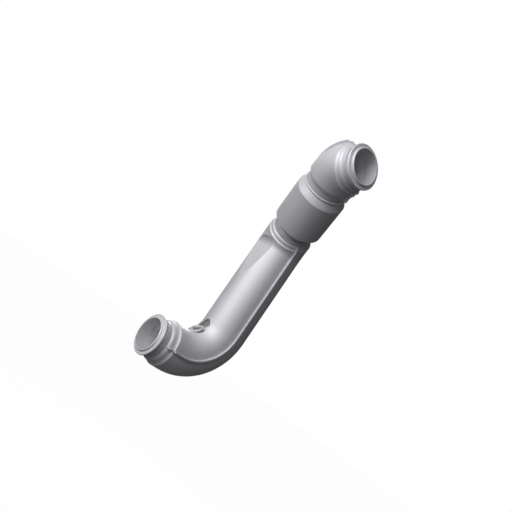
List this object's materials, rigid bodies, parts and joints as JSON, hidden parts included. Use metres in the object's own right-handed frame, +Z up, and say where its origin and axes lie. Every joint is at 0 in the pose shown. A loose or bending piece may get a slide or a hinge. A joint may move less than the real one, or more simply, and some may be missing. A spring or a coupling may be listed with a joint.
{
  "type": "exhaust elbow",
  "caption": "Heat-shielded exhaust elbow: a long bent inlet pipe joined by a covered flex bellows to a short bent outlet, with V-band flanges and a sensor boss.",
  "frame": {"origin": "centre of the inlet flange's sealing face, on the inlet pipe's axis", "axes": "+X along the flow into the inlet, +Z up the long leg, the inlet bend in the XZ plane, the flex and outlet leaning to -Y"},
  "size_m": [0.214, 0.2782, 0.6152],
  "materials": {
    "shield_steel": "satin pressed sheet",
    "tube_steel": "plain drawn tube",
    "flange_steel": "turned",
    "cover_steel": "satin rolled sheet",
    "bellows_steel": "formed thin sheet",
    "insulation": "needled fibre mat"
  },
  "bodies": {
    "lower": {"inlet_flange": "flange_steel", "inlet_elbow": "tube_steel", "leg_tube": "tube_steel", "top_elbow": "tube_steel", "sensor_boss": "flange_steel", "lower_insulation": "insulation", "inlet_spacer": "tube_steel", "top_spacer": "tube_steel", "bellows_lower_band": "bellows_steel", "bellows_liner": "bellows_steel", "lower_shield_inner": "shield_steel", "lower_shield_outer": "shield_steel", "leg_shield_outer": "shield_steel", "top_shield_outer": "shield_steel"},
    "flex": {"bellows": "bellows_steel"},
    "upper": {"bellows_upper_band": "bellows_steel", "flex_cover": "cover_steel", "cover_carrier": "cover_steel", "upper_tube": "tube_steel", "outlet_elbow": "tube_steel", "upper_insulation": "insulation", "outlet_flange": "flange_steel", "outlet_spacer": "tube_steel", "upper_shield_left": "shield_steel", "upper_shield_right": "shield_steel"}
  },
  "joints": [
    {"name": "flex_bend", "type": "hinge", "parent": "lower", "child": "flex", "pos_m": [0.11131, -0.06576, 0.40872], "axis": [0.8241, -0.5664, 0], "range_deg": [-3, 3], "stiffness_Nm_per_rad": 450, "deforming": ["bellows"]},
    {"name": "flex_stretch", "type": "slide", "parent": "flex", "child": "upper", "axis": [-0.4109, -0.5978, 0.6884], "range_m": [-0.005, 0.005], "stiffness_N_per_m": 40000, "deforming": ["bellows"]}
  ]
}
